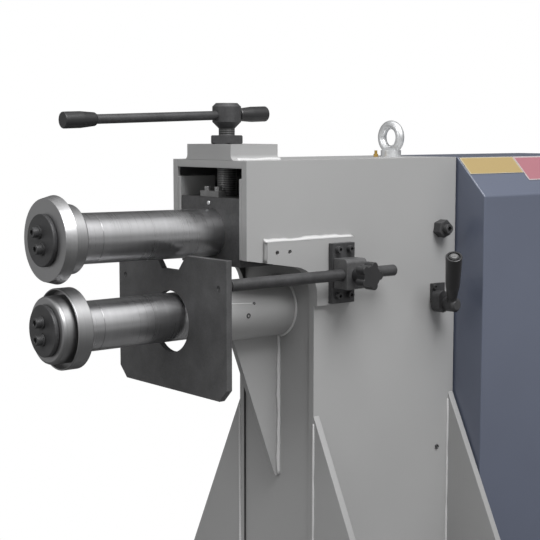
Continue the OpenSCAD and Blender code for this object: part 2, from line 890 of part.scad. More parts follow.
module stop_rod() color("dimgray")
  machine() translate([-stop_x + stop_t, rod_y, rod_z]) {
    rod_x(rod_r - rod_neck, 0, rod_neck_l + 1);
    rod_x(rod_r, rod_neck_l, rod_l);
  }

// Stop plate with cut lower corners and a notch for the upper shaft
module stop_outline() {
  half = stop_w / 2;
  bottom = stop_top - stop_h;
  polygon([
    [notch_foot, stop_top - notch_d], [notch_mouth, stop_top], [half, stop_top],
    [half, bottom + stop_cut], [half - stop_cut, bottom],
    [stop_cut - half, bottom], [-half, bottom + stop_cut], [-half, stop_top],
    [-notch_mouth, stop_top], [-notch_foot, stop_top - notch_d]
  ]);
}

module stop_plate() color("dimgray")
  machine() difference() {
    along_x(-stop_x, -stop_x + stop_t) stop_outline();
    translate([0, 0, stop_hole_z]) rod_x(stop_hole_r, -stop_x - 1, -stop_x + stop_t + 1);
    for (y = [-stop_screw_y, stop_screw_y])
      translate([0, y, stop_screw_z]) rod_x(stop_screw_r, -stop_x - 1, -stop_x + stop_screw_d);
  }

base_plate();
side_plate_near();
side_plate_far();
top_plate();
front_wall();
rear_wall();
front_flares();
rear_flares();
head_guides();
neck_block();
horn_tube();
horn_gusset();
lower_bearing();
pivot_screws();
pivot_nuts();
side_pad();
clamp_plate();
clamp_screws();
clamp_block();
eye_bolt();
grease_nipple();
lock_nut();
lever_bracket();
drive_cover();
rear_panel();
label_yellow();
label_red();
lower_shaft();
lower_roller();
lower_washer();
lower_keepers();
slide_block();
slide_cap();
rear_rocker();
upper_shaft();
upper_roller();
upper_washer();
upper_keepers();
spindle();
screw_hub();
cross_bar();
cross_grips();
stop_rod();
stop_plate();
star_knob();
lever_arm();
lever_grip();
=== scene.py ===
"""Looks of a motor-driven beading machine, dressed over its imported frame.

Lengths are in metres in the frame's own axes: +X runs from the rollers to the
drive, +Y to the far side and +Z up.
"""

import json
import logging
import math
from dataclasses import dataclass, field
from enum import Enum
from typing import Any, Iterable, Optional, Sequence

import bmesh
import bpy
from mathutils import Matrix, Vector

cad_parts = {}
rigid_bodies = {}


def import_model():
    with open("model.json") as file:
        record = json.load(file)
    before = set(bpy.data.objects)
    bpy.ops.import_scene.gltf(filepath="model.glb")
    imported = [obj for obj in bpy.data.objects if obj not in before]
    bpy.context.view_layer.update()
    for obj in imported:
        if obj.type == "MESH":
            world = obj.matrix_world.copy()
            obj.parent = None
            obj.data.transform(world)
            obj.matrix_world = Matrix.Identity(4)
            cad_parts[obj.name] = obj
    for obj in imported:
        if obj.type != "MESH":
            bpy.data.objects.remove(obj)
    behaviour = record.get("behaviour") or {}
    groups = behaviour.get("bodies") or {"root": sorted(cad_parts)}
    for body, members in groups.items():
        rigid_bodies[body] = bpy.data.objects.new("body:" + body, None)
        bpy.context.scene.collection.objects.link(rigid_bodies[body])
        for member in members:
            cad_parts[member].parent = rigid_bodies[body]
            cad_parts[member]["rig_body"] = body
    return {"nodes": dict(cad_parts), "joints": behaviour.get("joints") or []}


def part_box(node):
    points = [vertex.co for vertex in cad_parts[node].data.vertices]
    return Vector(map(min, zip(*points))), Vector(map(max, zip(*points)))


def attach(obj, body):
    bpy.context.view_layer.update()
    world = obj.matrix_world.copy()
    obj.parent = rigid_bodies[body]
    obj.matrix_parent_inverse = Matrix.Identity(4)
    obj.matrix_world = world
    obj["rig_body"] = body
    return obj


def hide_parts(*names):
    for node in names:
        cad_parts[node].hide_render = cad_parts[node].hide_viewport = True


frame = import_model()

LOG = logging.getLogger("beading_machine")
MM = 0.001
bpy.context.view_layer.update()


class Body(Enum):
    """Rigid bodies of the machine that new pieces ride on."""

    FRAME = "machine_frame"
    LOWER = "lower_spindle"
    ARM = "upper_arm"
    UPPER = "upper_spindle"
    SCREW = "pressure_screw"
    HANDLE = "t_handle"
    STOP = "depth_stop"
    KNOB = "clamp_knob"
    LEVER = "lever"
    LEVER_GRIP = "lever_handle"


class Axis(Enum):
    """Unit directions of the frame."""

    X = Vector((1.0, 0.0, 0.0))
    Y = Vector((0.0, 1.0, 0.0))
    Z = Vector((0.0, 0.0, 1.0))


# --------------------------------------------------------------- shader maths


class Field:
    """A shader socket that takes part in Python arithmetic."""

    def __init__(self, graph: "Graph", socket: bpy.types.NodeSocket) -> None:
        """Wraps one output socket of a graph."""
        self.graph = graph
        self.socket = socket

    def _math(self, operation: str, *terms: "Field | float") -> "Field":
        """Adds one Math node.

        Args:
            operation: the Math node's operation.
            *terms: its inputs, in order.

        Returns:
            The node's value.
        """
        return self.graph.value("ShaderNodeMath", {"operation": operation}, dict(enumerate(terms)))

    def __add__(self, other: "Field | float") -> "Field":
        """Sum."""
        return self._math("ADD", self, other)

    def __radd__(self, other: float) -> "Field":
        """Reflected sum."""
        return self._math("ADD", other, self)

    def __sub__(self, other: "Field | float") -> "Field":
        """Difference."""
        return self._math("SUBTRACT", self, other)

    def __rsub__(self, other: float) -> "Field":
        """Reflected difference."""
        return self._math("SUBTRACT", other, self)

    def __mul__(self, other: "Field | float") -> "Field":
        """Product."""
        return self._math("MULTIPLY", self, other)

    def __rmul__(self, other: float) -> "Field":
        """Reflected product."""
        return self._math("MULTIPLY", other, self)

    def __truediv__(self, other: "Field | float") -> "Field":
        """Quotient."""
        return self._math("DIVIDE", self, other)

    def clamp(self) -> "Field":
        """Limits the value to 0..1."""
        return self._math("MINIMUM", self._math("MAXIMUM", self, 0.0), 1.0)

    def step(self, edge: float, width: float) -> "Field":
        """Rises from 0 to 1 as the value passes an edge.

        Args:
            edge: where the rise starts.
            width: how far it takes.

        Returns:
            The limited ramp.
        """
        return ((self - edge) / width).clamp()

    def wave(self) -> "Field":
        """Sine of the value."""
        return self._math("SINE", self)

    def size(self) -> "Field":
        """Absolute value."""
        return self._math("ABSOLUTE", self)


Term = "Field | bpy.types.NodeSocket | float | Sequence[float]"


class Graph:
    """A node tree under construction, for a material or the world."""

    def __init__(self, name: str, shelf: Any = None) -> None:
        """Starts an empty node tree.

        Args:
            name: its owner's name.
            shelf: where the owner is made; the materials if none is given.
        """
        self.owner = (bpy.data.materials if shelf is None else shelf).new(name)
        self.owner.use_nodes = True
        self.tree = self.owner.node_tree
        self.tree.nodes.clear()

    def node(self, kind: str, settings: Optional[dict] = None,
             inputs: Optional[dict] = None) -> bpy.types.Node:
        """Adds a node of any type.

        Args:
            kind: the node's type.
            settings: its properties, set first; "stops" fills a colour ramp.
            inputs: values, sockets or Fields by input name or number.

        Returns:
            The new node.
        """
        made = self.tree.nodes.new(kind)
        for key, value in (settings or {}).items():
            if key == "stops":
                self._fill_ramp(made.color_ramp, value)
            else:
                setattr(made, key, value)
        for key, value in (inputs or {}).items():
            if isinstance(value, Field):
                value = value.socket
            if isinstance(value, bpy.types.NodeSocket):
                self.tree.links.new(value, made.inputs[key])
            else:
                made.inputs[key].default_value = value
        return made

    @staticmethod
    def _fill_ramp(ramp: bpy.types.ColorRamp, stops: Sequence[tuple]) -> None:
        """Sets a ramp's stops from (position, (r, g, b)) pairs."""
        while len(ramp.elements) > 1:
            ramp.elements.remove(ramp.elements[-1])
        for index, (position, colour) in enumerate(stops):
            element = ramp.elements[0] if index == 0 else ramp.elements.new(position)
            element.position = position
            element.color = (*colour, 1.0)

    def value(self, kind: str, settings: Optional[dict] = None, inputs: Optional[dict] = None,
              output: "str | int" = 0) -> Field:
        """Adds a node and returns one of its outputs as a Field."""
        return Field(self, self.node(kind, settings, inputs).outputs[output])

    def place(self, stretch: Sequence[float] = (1.0, 1.0, 1.0)) -> bpy.types.NodeSocket:
        """Object coordinates, stretched along each axis."""
        where = self.node("ShaderNodeTexCoord").outputs["Object"]
        scaled = {"Vector": where, "Scale": tuple(stretch)}
        return self.node("ShaderNodeMapping", None, scaled).outputs[0]

    def axes(self, vector: bpy.types.NodeSocket) -> list:
        """The three parts of a vector, each as a Field."""
        split = self.node("ShaderNodeSeparateXYZ", None, {0: vector})
        return [Field(self, part) for part in split.outputs]

    def ray(self, kind: str) -> Field:
        """1 where the ray is of that kind, otherwise 0."""
        return self.value("ShaderNodeLightPath", output="Is " + kind + " Ray")

    def noise(self, scale: float, detail: float = 3.0, roughness: float = 0.5,
              stretch: Sequence[float] = (1.0, 1.0, 1.0)) -> Field:
        """Cloudy variation around 0.5.

        Args:
            scale: cycles per metre.
            detail: octaves.
            roughness: strength of the finer octaves.
            stretch: scale of each axis.

        Returns:
            The noise's value.
        """
        inputs = {"Vector": self.place(stretch), "Scale": scale, "Detail": detail, "Roughness": roughness}
        return self.value("ShaderNodeTexNoise", None, inputs)

    def blend(self, factor: "Field | float", low: "Sequence[float] | Field",
              high: "Sequence[float] | Field") -> Field:
        """Mixes two colours by a factor."""
        inputs = {0: factor}
        for socket, colour in ((6, low), (7, high)):
            inputs[socket] = colour if isinstance(colour, Field) else (*colour, 1.0)
        return self.value("ShaderNodeMix", {"data_type": "RGBA"}, inputs, 2)

    def bump(self, height: Field, depth: float, under: Optional[Field] = None) -> Field:
        """Normal from a height of that depth in metres, over another normal."""
        inputs = {"Height": height, "Distance": depth, "Strength": 1.0}
        if under is not None:
            inputs["Normal"] = under
        return self.value("ShaderNodeBump", None, inputs)

    def finish(self, **sockets: Term) -> bpy.types.Material:
        """Ends the graph in a Principled shader.

        Args:
            **sockets: inputs, with underscores for the spaces in their names.

        Returns:
            The finished material.
        """
        inputs = {key.replace("_", " "): value for key, value in sockets.items()}
        shader = self.node("ShaderNodeBsdfPrincipled", None, inputs)
        self.node("ShaderNodeOutputMaterial", None, {"Surface": shader.outputs[0]})
        return self.owner


# ------------------------------------------------------------------- finishes


@dataclass(frozen=True)
class Finish:
    """Base of every finish: a name, the record's slot and a base colour."""

    name: str
    slot: str
    colour: tuple

    def shade(self, amount: float) -> tuple:
        """The base colour, lightened or darkened by a factor."""
        return tuple(min(1.0, c * amount) for c in self.colour)

    def build(self) -> bpy.types.Material:
        """Makes the material; each finish has its own."""
        raise NotImplementedError

    def material(self) -> bpy.types.Material:
        """The finish's material, made on first use."""
        return bpy.data.materials.get(self.name) or self.build()


@dataclass(frozen=True)
class SprayPaint(Finish):
    """Sprayed machine paint with fine orange peel and a faint uneven tone."""

    gloss: float = 0.42
    peel: float = 0.00012
    grain: float = 520.0
    mottle: float = 0.05
    coat: float = 0.12

    def spray(self, graph: Graph, tone: Field) -> bpy.types.Material:
        """Ends a graph in sprayed paint of that tone."""
        rough = (graph.noise(self.grain * 0.4, 2.0) - 0.5) * 0.12 + self.gloss
        peel = graph.bump(graph.noise(self.grain, 2.0, 0.4), self.peel)
        return graph.finish(Base_Color=tone, Roughness=rough, Normal=peel,
                            Coat_Weight=self.coat, Coat_Roughness=0.25)

    def build(self) -> bpy.types.Material:
        """Paint whose peel is a bump and whose tone drifts slowly."""
        graph = Graph(self.name)
        drift = graph.noise(3.5, 3.0)
        speck = graph.noise(self.grain * 1.7, 2.0)
        uneven = (drift * 0.7 + speck * 0.3 - 0.3) * 2.5
        tone = graph.blend(uneven, self.shade(1.0 - self.mottle), self.shade(1.0 + self.mottle))
        return self.spray(graph, tone)


@dataclass(frozen=True)
class BareInside(SprayPaint):
    """Body paint on a plate whose inner face is bare and oily behind a ragged edge."""

    bare: tuple = (0.040, 0.040, 0.041)
    margin: float = 0.004
    band_drop: float = 0.020
    band_half: float = 0.008

    def build(self) -> bpy.types.Material:
        """Paint outside, bare steel inside, with a band of overspray near the top."""
        graph = Graph(self.name)
        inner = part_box("side_plate_far")[0]
        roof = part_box("top_plate")[0].z
        along, across, up = graph.axes(graph.place())
        ragged = (graph.noise(70.0, 4.0) - 0.5) * 0.012
        inside = (inner.y + 0.002 - across) / 0.001
        behind = (along + ragged - (inner.x + self.margin)).step(0.0, 0.002)
        from_band = (up + ragged - (roof - self.band_drop)).size()
        band = (1.0 - from_band / self.band_half).clamp() * graph.noise(160.0, 3.0)
        tone = graph.blend((inside.clamp() * behind - band).clamp(), self.colour, self.bare)
        return self.spray(graph, tone)


@dataclass(frozen=True)
class TurnedSteel(Finish):
    """Lathe-turned bright steel whose tool marks ring one axis."""

    gloss: float = 0.22
    rings: float = 1400.0
    along: Axis = Axis.X

    def build(self) -> bpy.types.Material:
        """Steel with ring marks in its bump, roughness and tone."""
        graph = Graph(self.name)
        stretch = tuple(1.0 if c else 0.0004 for c in self.along.value)
        marks = graph.noise(self.rings, 3.0, 0.6, stretch)
        bands = graph.noise(90.0, 4.0, 0.6, stretch)
        cloud = graph.noise(22.0, 3.0)
        uneven = (bands * 0.55 + marks * 0.45 - 0.3) * 2.5
        tone = graph.blend(uneven, self.shade(0.92), self.shade(1.08))
        rough = (bands - 0.5) * 0.10 + (marks - 0.5) * 0.08 + (cloud - 0.5) * 0.06 + self.gloss
        lines = graph.bump(marks, 0.000004)
        return graph.finish(Base_Color=tone, Metallic=1.0, Roughness=rough, Normal=lines)


@dataclass(frozen=True)
class OxideSteel(Finish):
    """Blackened, oiled steel with a mottled sheen."""

    gloss: float = 0.42
    metal: float = 0.35
    mottle: float = 260.0

    def build(self) -> bpy.types.Material:
        """Dark oxide with lighter rubbed clouds and a fine rolled skin."""
        graph = Graph(self.name)
        cloud = graph.noise(34.0, 5.0, 0.6)
        skin = graph.noise(self.mottle, 3.0, 0.6)
        rubbed = (cloud * 0.6 + skin * 0.4 - 0.38) * 3.0
        tone = graph.blend(rubbed.clamp(), self.shade(0.75), self.shade(1.3))
        rough = (skin - 0.5) * 0.18 + (cloud - 0.5) * 0.14 + self.gloss
        rolled = graph.bump(skin, 0.00005)
        return graph.finish(Base_Color=tone, Metallic=self.metal, Roughness=rough, Normal=rolled)


@dataclass(frozen=True)
class ThreadedSteel(Finish):
    """Dark screw steel with a thread's ridges round the Z axis."""

    pitch: float = 0.0035

    def build(self) -> bpy.types.Material:
        """Ridges from the height along Z, in the bump and in the tone: painted shade in the roots and
        painted light on the crests.
        """
        graph = Graph(self.name)
        height = graph.axes(graph.place())[2] * (2.0 * math.pi / self.pitch)
        ridge = height.wave() * 0.5 + 0.5
        # Painted shade in the thread's roots and painted light on its crests, following the bump's height.
        tone = graph.blend(ridge, self.shade(0.5), self.shade(1.4))
        thread = graph.bump(ridge, 0.0003)
        return graph.finish(Base_Color=tone, Metallic=0.5, Roughness=0.4, Normal=thread)


@dataclass(frozen=True)
class ZincPlate(Finish):
    """Bright zinc with a faint crystalline bloom."""

    def build(self) -> bpy.types.Material:
        """Zinc whose cells change tone and roughness."""
        graph = Graph(self.name)
        cells = graph.value("ShaderNodeTexVoronoi", None, {"Vector": graph.place(), "Scale": 240.0})
        cloud = graph.noise(60.0, 4.0)
        bloom = (cells * 0.8 + cloud * 0.5 - 0.2).clamp()
        tone = graph.blend(bloom, self.shade(0.85), self.shade(1.12))
        rough = (cloud - 0.5) * 0.2 + 0.38
        forged = graph.bump(graph.noise(130.0, 4.0), 0.0002)
        return graph.finish(Base_Color=tone, Metallic=0.8, Roughness=rough, Normal=forged)


@dataclass(frozen=True)
class Moulded(Finish):
    """Black moulded plastic with a soft shine."""

    gloss: float = 0.24

    def build(self) -> bpy.types.Material:
        """Plastic with slight flow marks and handling haze."""
        graph = Graph(self.name)
        haze = graph.noise(48.0, 4.0)
        tone = graph.blend(haze, self.shade(0.85), self.shade(1.25))
        rough = (haze - 0.5) * 0.12 + self.gloss
        skin = graph.bump(graph.noise(240.0, 1.0), 0.00001)
        return graph.finish(Base_Color=tone, Roughness=rough, Normal=skin,
                            Coat_Weight=0.05, Coat_Roughness=0.3)


@dataclass(frozen=True)
class Brass(Finish):
    """Turned brass, slightly dulled."""

    def build(self) -> bpy.types.Material:
        """Brass with a patchy tarnish."""
        graph = Graph(self.name)
        dull = graph.noise(300.0, 4.0)
        tone = graph.blend(dull, self.shade(0.7), self.shade(1.1))
        return graph.finish(Base_Color=tone, Metallic=1.0, Roughness=dull * 0.3 + 0.15)


@dataclass(frozen=True)
class PrintedPlate(Finish):
    """A blank enamelled plate with a thin lighter border line."""

    border: tuple = (0.42, 0.37, 0.26)

    def build(self) -> bpy.types.Material:
        """Flat enamel with print dither and a border from the piece's UV map."""
        graph = Graph(self.name)
        spread, height, _ = graph.axes(graph.node("ShaderNodeTexCoord").outputs["UV"])
        across, up = (spread - 0.5).size(), (height - 0.5).size()
        edge = (across.step(0.482, 0.002) + up.step(0.445, 0.006)).clamp()
        print_tone = graph.blend(graph.noise(900.0, 2.0), self.shade(0.94), self.shade(1.06))
        tone = graph.blend(edge, print_tone, self.border)
        return graph.finish(Base_Color=tone, Roughness=graph.noise(40.0, 3.0) * 0.12 + 0.3)


BODY_PAINT = SprayPaint("grey_body_paint", "body_paint", (0.34, 0.34, 0.34))
FAR_PLATE_PAINT = BareInside("far_plate_paint", "body_paint", BODY_PAINT.colour)
STAND_PAINT = SprayPaint("grey_stand_paint", "stand_paint", (0.33, 0.33, 0.33), gloss=0.5)
COVER_PAINT = SprayPaint("blue_cover_paint", "cover_paint", (0.098, 0.113, 0.158),
                         gloss=0.4, peel=0.00010, grain=700.0, mottle=0.07, coat=0.6)
# Body paint lightened for the weld beads and fillets: a painted highlight for the light their rounded tops
# catch.
HIGHLIT_WELD_PAINT = SprayPaint("weld_paint_painted_highlight", "body_paint", (0.56, 0.56, 0.56), gloss=0.36)
BRIGHT_STEEL = TurnedSteel("turned_shaft_steel", "turned_steel", (0.54, 0.54, 0.55), gloss=0.29)
ROLLER_STEEL = TurnedSteel("turned_roller_steel", "turned_steel", (0.37, 0.37, 0.375),
                           gloss=0.42, rings=900.0)
BLACK_STEEL = OxideSteel("blackened_steel", "black_steel", (0.062, 0.062, 0.064), gloss=0.46)
PLATE_STEEL = OxideSteel("stop_plate_steel", "black_steel", (0.080, 0.080, 0.082),
                         gloss=0.5, metal=0.12, mottle=420.0)
# Oxide steel lighter than the rest, for the clamp block: a painted highlight for its lit top.
HIGHLIT_CLAMP_STEEL = OxideSteel("clamp_steel_painted_highlight", "black_steel", (0.105, 0.105, 0.107),
                        gloss=0.42, metal=0.3, mottle=320.0)
GUIDE_STEEL = OxideSteel("ground_guide_steel", "guide_steel", (0.22, 0.22, 0.22),
                         gloss=0.35, metal=0.7)
BLOCK_IRON = OxideSteel("machined_block_iron", "cast_block", (0.085, 0.085, 0.087),
                        gloss=0.42, metal=0.4)
SCREW_STEEL = ThreadedSteel("pressure_screw_thread", "black_steel", (0.10, 0.10, 0.10))
ZINC = ZincPlate("zinc_lifting_eye", "galvanised", (0.72, 0.73, 0.74))
NIPPLE_BRASS = Brass("nipple_brass", "brass", (0.65, 0.42, 0.12))
BLACK_PLASTIC = Moulded("black_grip_plastic", "black_plastic", (0.020, 0.020, 0.021), gloss=0.36)
YELLOW_PLATE = PrintedPlate("yellow_enamel", "yellow_plate", (0.35, 0.26, 0.115))
RED_PLATE = PrintedPlate("red_enamel", "red_plate", (0.33, 0.135, 0.16), border=(0.42, 0.36, 0.36))


# ------------------------------------------------------------------ workshop


@dataclass
class Workshop:
    """Makes pieces at the origin and hangs them on the frame's bodies."""

    nodes: dict = field(default_factory=lambda: frame["nodes"])

    def node_body(self, node: str) -> str:
        """The body that a CAD node rides on."""
        return self.nodes[node]["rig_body"]

    def hang(self, name: str, bm: bmesh.types.BMesh, finish: Finish, body: Body,
             stands_for: Sequence[str] = (), clean: bool = True) -> bpy.types.Object:
        """Turns a bmesh into a finished piece.

        Args:
            name: the piece's name.
            bm: its shape, which is freed.
            finish: its finish.
            body: the body it rides on.
            stands_for: CAD nodes that it replaces.
            clean: merge doubles and recalculate the normals first.

        Returns:
            The new object.
        """
        if clean:
            bmesh.ops.remove_doubles(bm, verts=bm.verts, dist=1e-6)
            bmesh.ops.recalc_face_normals(bm, faces=bm.faces)
        mesh = bpy.data.meshes.new(name)
        bm.to_mesh(mesh)
        bm.free()
        mesh.shade_smooth()
        piece = bpy.data.objects.new(name, mesh)
        bpy.context.scene.collection.objects.link(piece)
        mesh.materials.append(finish.material())
        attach(piece, body.value)
        for node in stands_for:
            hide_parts(node)
        LOG.info("made %s on %s", name, body.value)
        return piece

    def dress(self, node: str, finish: Finish) -> None:
        """Gives a CAD node its finish, its shape as it is."""
        mesh = self.nodes[node].data
        mesh.materials.clear()
        mesh.materials.append(finish.material())
        LOG.info("dressed %s", node)

    def soften(self, node: str, finish: Finish, radius: float, segments: int = 2,
               angle: float = 28.0) -> bpy.types.Object:
        """Stands a copy with rounded edges in for a CAD node.

        Args:
            node: the CAD node.
            finish: the copy's finish.
            radius: width of the rounding.
            segments: faces across it.
            angle: sharpest edge, in degrees, that stays as it is.

        Returns:
            The copy.
        """
        bm = bmesh.new()
        bm.from_mesh(self.nodes[node].data)
        bmesh.ops.remove_doubles(bm, verts=bm.verts, dist=2e-6)
        bmesh.ops.dissolve_limit(bm, angle_limit=math.radians(0.3), use_dissolve_boundaries=False,
                                 verts=bm.verts, edges=bm.edges)
        body = Body(self.node_body(node))
        piece = self.hang(node + "_rounded", bm, finish, body, (node,), clean=False)
        bevel = piece.modifiers.new("rounding", "BEVEL")
        bevel.width = radius
        bevel.segments = segments
        bevel.profile = 0.5
        bevel.limit_method = "ANGLE"
        bevel.angle_limit = math.radians(angle)
        bevel.harden_normals = False
        smooth = piece.modifiers.new("even shading", "WEIGHTED_NORMAL")
        smooth.mode = "FACE_AREA"
        smooth.weight = 100
        smooth.keep_sharp = False
        return piece


def turned(bm: bmesh.types.BMesh, profile: Iterable[tuple], origin: Vector, axis: Vector,
           steps: int = 48) -> None:
    """Adds a lathe-turned solid.

    Args:
        bm: where it goes.
        profile: (station along the axis, radius) pairs.
        origin: the axis's start.
        axis: its unit direction.
        steps: faces round it.
    """
    aside = axis.orthogonal().normalized()
    points = [bm.verts.new(origin + axis * s + aside * r) for s, r in profile]
    chain = [bm.edges.new(pair) for pair in zip(points, points[1:])]
    bmesh.ops.spin(bm, geom=points + chain, cent=origin, axis=axis, angle=2 * math.pi,
                   steps=steps, use_merge=True)


def rounded(start: tuple, corner: tuple, end: tuple, radius: float, steps: int = 4) -> list:
    """Points of a profile's rounded corner.

    Args:
        start: a point before the corner.
        corner: the sharp corner.
        end: a point after it.
        radius: distance from the corner at which the rounding starts.
        steps: number of segments.

    Returns:
        The points from the start's side to the end's side.
    """
    here = Vector(corner)
    a = here + (Vector(start) - here).normalized() * radius
    b = here + (Vector(end) - here).normalized() * radius
    path = []
    for i in range(steps + 1):
        t = i / steps
        path.append(tuple(a * (1 - t) ** 2 + here * (2 * t * (1 - t)) + b * t ** 2))
    return path


def button(radius: float, height: float, edge: float) -> list:
    """Profile of a small round head with a rounded edge, up to the edge's end."""
    return [(0.0, 0.0), (0.0, radius)] + rounded((0.0, radius), (height, radius), (height, 0.0), edge)


def ring_edges(ring: Sequence[bmesh.types.BMVert]) -> list:
    """The edges that join a ring's own vertices."""
    return list({e for v in ring for e in v.link_edges if all(o in ring for o in e.verts)})


def swept(bm: bmesh.types.BMesh, path: Sequence[Vector], radii: Sequence[float],
          sides: int = 10) -> None:
    """Adds a tube along a path, closed at both ends.

    Args:
        bm: where it goes.
        path: the centre of each ring.
        radii: the radius of each ring.
        sides: faces round it.
    """
    last = len(path) - 1
    tangents = [(path[min(i + 1, last)] - path[max(i - 1, 0)]).normalized() for i in range(last + 1)]
    turn = tangents[0].to_track_quat("Z", "Y")
    start = Matrix.Translation(path[0]) @ turn.to_matrix().to_4x4()
    ring = bmesh.ops.create_circle(bm, cap_ends=True, segments=sides, radius=radii[0], matrix=start)["verts"]
    for i in range(1, len(path)):
        grown = bmesh.ops.extrude_edge_only(bm, edges=ring_edges(ring))["geom"]
        ring = [g for g in grown if isinstance(g, bmesh.types.BMVert)]
        swing = tangents[i - 1].rotation_difference(tangents[i]).to_matrix().to_4x4()
        here = Matrix.Translation(-path[i - 1])
        bmesh.ops.transform(bm, matrix=swing, space=here, verts=ring)
        bmesh.ops.scale(bm, vec=(radii[i] / radii[i - 1],) * 3, space=here, verts=ring)
        bmesh.ops.translate(bm, vec=path[i] - path[i - 1], verts=ring)
    bmesh.ops.contextual_create(bm, geom=ring_edges(ring))


@dataclass(frozen=True)
class WeldBead:
    """A hand-laid weld: a rippled tube half sunk into its corner."""

    radius: float = 0.0035
    ripple: float = 0.0045
    wander: float = 0.0006

    def lay(self, bm: bmesh.types.BMesh, start: Vector, end: Vector, seed: float = 0.0) -> None:
        """Lays one straight run.

        Args:
            bm: where it goes.
            start: the run's start.
            end: its end.
            seed: shifts the ripple and the wander.
        """
        length = (end - start).length
        along = (end - start).normalized()
        aside = along.orthogonal().normalized()
        count = max(4, round(length / (self.ripple / 2)))
        path, radii = [], []
        for i in range(count + 1):
            t = i / count
            drift = math.sin(t * length * 60 + seed) + 0.6 * math.sin(t * length * 137 + 2.1 * seed)
            ease = min(1.0, 6 * min(t, 1 - t) * length / self.radius * 0.2 + 0.35)
            path.append(start + along * (t * length) + aside * (drift * self.wander))
            swell = 1.0 + (0.10 if i % 2 else -0.06) + 0.08 * math.sin(t * length * 41 + seed)
            radii.append(self.radius * ease * swell)
        swept(bm, path, radii, 8)


@dataclass(frozen=True)
class FilletWeld:
    """A weld of roughly triangular section in a corner, its upper edge wavy."""

    rise: float
    reach: float
    bulge: float = 0.6
    wave: float = 0.0008
    pitch: float = 0.006

    def lay(self, bm: bmesh.types.BMesh, start: Vector, end: Vector, up: Vector, out: Vector,
            seed: float = 0.0) -> None:
        """Lays one straight run.

        Args:
            bm: where it goes.
            start: the corner's start.
            end: its end.
            up: unit direction along one face.
            out: unit direction along the other face.
            seed: shifts the wave.
        """
        run = end - start
        verts = bmesh.ops.create_cube(bm, size=1.0)["verts"]
        for v in verts:
            t, a, b = v.co.x + 0.5, v.co.y + 0.5, v.co.z + 0.5
            pull = self.bulge if a * b else 1.0
            v.co = start + run * t + out * (a * pull * self.reach) + up * (b * pull * self.rise)
        geom = set(verts)
        geom |= {e for v in verts for e in v.link_edges} | {f for v in verts for f in v.link_faces}
        count = max(2, round(run.length / self.pitch))
        for i in range(1, count):
            cut = bmesh.ops.bisect_plane(bm, geom=list(geom), plane_co=start + run * (i / count),
                                         plane_no=run.normalized())
            geom = set(cut["geom"]) | set(cut["geom_cut"])
        for v in {g for g in geom if isinstance(g, bmesh.types.BMVert)}:
            lift = (v.co - start).dot(up) / self.rise
            s = (v.co - start).dot(run.normalized())
            sway = math.sin(s * 55 + seed) + 0.7 * math.sin(s * 117 + 2.3 * seed)
            sway += 0.4 * math.sin(s * 301 + seed)
            v.co += up * (max(0.0, lift) * self.wave * sway)


# -------------------------------------------------------------- sub-assemblies


@dataclass
class Datum:
    """The machine's own reference: head front, symmetry plane and lower axis.

    The classes below give their places from it in millimetres, and every
    other size in metres.
    """

    head_x: float
    axis_z: float

    @classmethod
    def from_frame(cls) -> "Datum":
        """Reads the reference from the CAD nodes."""
        low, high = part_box("lower_roller")
        return cls(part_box("side_plate_near")[0].x, (low.z + high.z) / 2)

    def at(self, x: float, y: float, z: float) -> Vector:
        """A point from millimetres behind the head, sideways and above the axis."""
        return Vector((self.head_x + x * MM, y * MM, self.axis_z + z * MM))


@dataclass
class Stand:
    """Base plate, flares, side plates, walls and their welds."""

    shop: Workshop
    datum: Datum
    edge: float = 1.2 * MM
    weld: WeldBead = field(default_factory=lambda: WeldBead(2.2 * MM))
    foot_gap: float = 0.004
    top_gap: float = 0.012
    corner_gap: float = 0.016

    def build(self) -> None:
        """Rounds the plates' edges and lays the welds."""
        self.shop.soften("base_plate", STAND_PAINT, 1.5 * MM)
        for node in ("side_plate_near", "top_plate", "front_wall", "rear_wall",
                     "front_flares", "rear_flares"):
            self.shop.soften(node, BODY_PAINT, self.edge)
        self.shop.soften("side_plate_far", FAR_PLATE_PAINT, self.edge)
        self.lay_flare_welds()
        self.lay_foot_welds()

    def lay_flare_welds(self) -> None:
        """Vertical welds between the flares and the side plates."""
        bm = bmesh.new()
        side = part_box("side_plate_near")[0].y
        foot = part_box("base_plate")[1].z + self.foot_gap
        for node in ("front_flares", "rear_flares"):
            low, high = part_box(node)
            top = high.z - self.top_gap
            for y in (side, -side):
                for k, x in enumerate((low.x, high.x)):
                    if x >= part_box("rear_flares")[1].x - 1e-6:
                        continue
                    self.weld.lay(bm, Vector((x, y, foot)), Vector((x, y, top)), seed=y * 40 + k)
        self.shop.hang("flare_welds", bm, HIGHLIT_WELD_PAINT, Body.FRAME)

    def lay_foot_welds(self) -> None:
        """Welds between the stand and its base plate."""
        bm = bmesh.new()
        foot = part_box("base_plate")[1].z
        low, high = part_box("side_plate_near")
        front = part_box("front_wall")[0].x
        for y in (low.y, -low.y):
            start = Vector((front + self.corner_gap, y, foot))
            end = Vector((high.x - self.corner_gap, y, foot))
            self.weld.lay(bm, start, end, seed=y * 31)
        for node in ("front_flares", "rear_flares"):
            a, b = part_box(node)
            for y0, y1 in (a.y, low.y), (-low.y, b.y):
                start = Vector((a.x, y0 + self.foot_gap, foot))
                self.weld.lay(bm, start, Vector((a.x, y1 - self.foot_gap, foot)), seed=y0 * 17)
        self.shop.hang("foot_welds", bm, STAND_PAINT, Body.FRAME)


